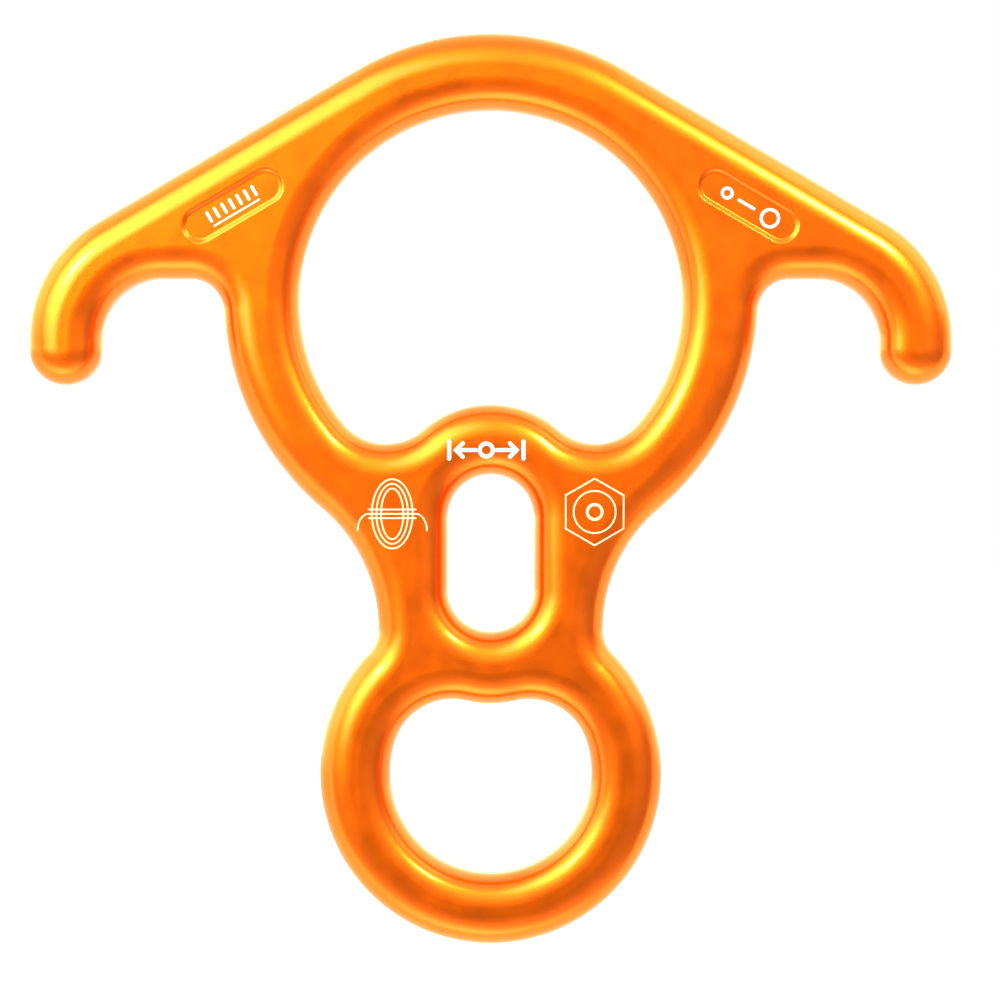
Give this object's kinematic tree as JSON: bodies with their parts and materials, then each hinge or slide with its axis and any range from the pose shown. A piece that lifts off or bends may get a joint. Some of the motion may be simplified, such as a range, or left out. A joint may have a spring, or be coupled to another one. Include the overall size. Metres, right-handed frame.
{
  "type": "figure eight descender",
  "caption": "Figure eight rescue descender: one forged aluminium plate with a big rope ring, hooked ears, a rope slot in the web and a small karabiner eye.",
  "frame": {"origin": "centre of the small eye at mid-thickness, where the descender hangs on its karabiner", "axes": "+Z from the small eye towards the big rope ring, +X across the ears, +Y through the thickness from the front face to the back face"},
  "size_m": [0.15, 0.013, 0.148],
  "materials": {
    "anodised_orange": "satin bead-blasted orange anodising, glossy where light rakes the rounded edges"
  },
  "bodies": {
    "root": {"forged_body": "anodised_orange"}
  },
  "joints": []
}
